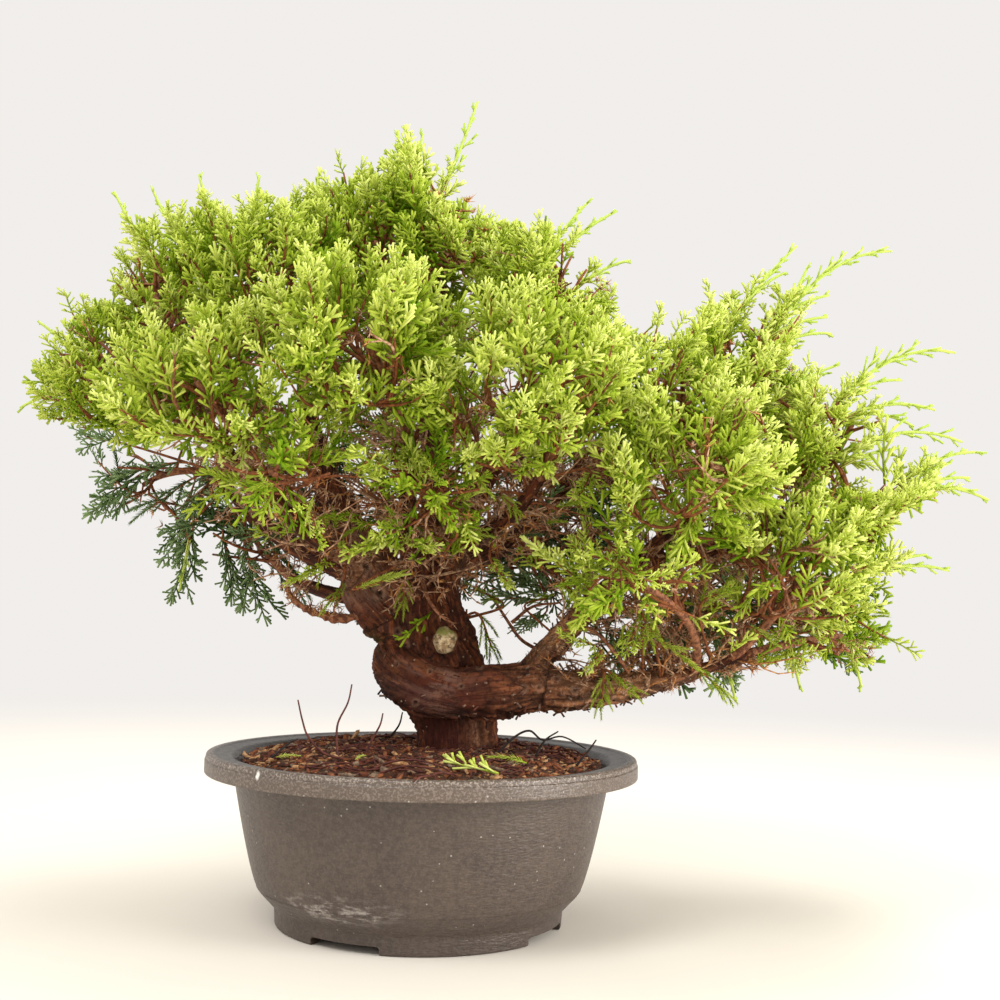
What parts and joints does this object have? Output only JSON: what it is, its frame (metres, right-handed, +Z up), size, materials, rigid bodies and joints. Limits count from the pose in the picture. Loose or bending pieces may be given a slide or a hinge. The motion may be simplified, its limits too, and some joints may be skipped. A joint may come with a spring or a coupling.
{
  "type": "juniper bonsai in a round pot",
  "caption": "Potted juniper bonsai: swirled trunk, tapering boughs and separate foliage masses over soil in a round ring-footed pot.",
  "frame": {"origin": "middle of the pot's underside, on the surface that the pot stands on", "axes": "+Z up, +X to the right along the crown's width, -Y towards the front that the picture shows"},
  "size_m": [0.4542, 0.2855, 0.39],
  "materials": {
    "pot_plastic": "matte",
    "soil": "matte",
    "bark": "matte",
    "foliage": "matte",
    "inner_foliage": "matte"
  },
  "bodies": {
    "root": {"pot": "pot_plastic", "soil": "soil", "trunk": "bark", "left_leader": "bark", "right_leader": "bark", "centre_leader": "bark", "back_bough": "bark", "left_bough": "bark", "left_front_bough": "bark", "left_back_bough": "bark", "left_low_bough": "bark", "front_bough": "bark", "right_front_bough": "bark", "back_right_bough": "bark", "right_bough": "bark", "right_far_bough": "bark", "right_low_bough": "bark", "right_back_bough": "bark", "left_tip_mass": "foliage", "left_top_mass": "foliage", "left_front_mass": "foliage", "top_left_mass": "foliage", "top_mid_mass": "foliage", "apex_mass": "foliage", "top_right_mass": "foliage", "mid_left_front_mass": "foliage", "mid_front_mass": "foliage", "right_mid_mass": "foliage", "right_top_mass": "foliage", "right_front_mass": "foliage", "right_far_up_mass": "foliage", "right_low_mass": "foliage", "back_left_mass": "foliage", "back_mid_left_mass": "foliage", "back_mid_mass": "foliage", "back_right_mass": "foliage", "left_low_front_mass": "inner_foliage", "left_back_low_mass": "inner_foliage", "left_back_inner_mass": "inner_foliage", "low_mid_front_mass": "inner_foliage", "right_far_tip_mass": "inner_foliage", "right_low_front_mass": "inner_foliage", "right_low_far_mass": "inner_foliage", "right_back_low_mass": "inner_foliage", "back_low_mid_mass": "inner_foliage"}
  },
  "joints": []
}
